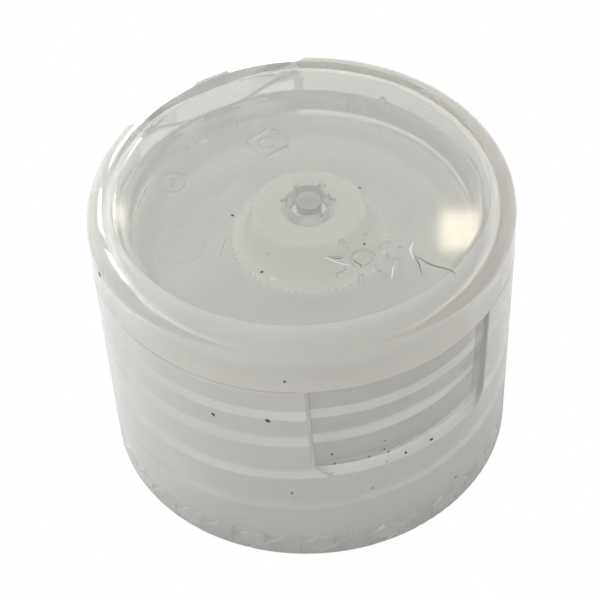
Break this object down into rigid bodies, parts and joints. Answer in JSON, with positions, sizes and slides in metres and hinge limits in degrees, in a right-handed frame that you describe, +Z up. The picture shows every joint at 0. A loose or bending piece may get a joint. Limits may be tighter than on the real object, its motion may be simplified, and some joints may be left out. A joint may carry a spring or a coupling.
{
  "type": "flip top cap",
  "caption": "Round flip top screw closure in translucent plastic: hinged lid with a hollow plug, flared spout, thumb recess and a deep screw socket for a bottle neck.",
  "frame": {"origin": "on the closure's axis, in the plane of the skirt's foot", "axes": "+Z up along the axis, from the open skirt to the lid; hinge at +Y, thumb recess at -Y"},
  "size_m": [0.027, 0.027, 0.0205],
  "materials": {
    "base_plastic": "natural polypropylene, translucent, satin",
    "lid_plastic": "natural polypropylene, translucent, polished outside",
    "hinge_film": "natural polypropylene film, clear where it is thin"
  },
  "bodies": {
    "base": {"threaded_base": "base_plastic", "hinge_strap": "hinge_film", "left_snap_wing": "hinge_film", "right_snap_wing": "hinge_film"},
    "lid": {"flip_lid": "lid_plastic"}
  },
  "joints": [
    {"name": "lid_hinge", "type": "hinge", "parent": "base", "child": "lid", "pos_m": [0, 0.013, 0.0163], "axis": [-1, 0, 0], "range_deg": [0, 180], "deforming": ["hinge_strap", "left_snap_wing", "right_snap_wing"]}
  ]
}
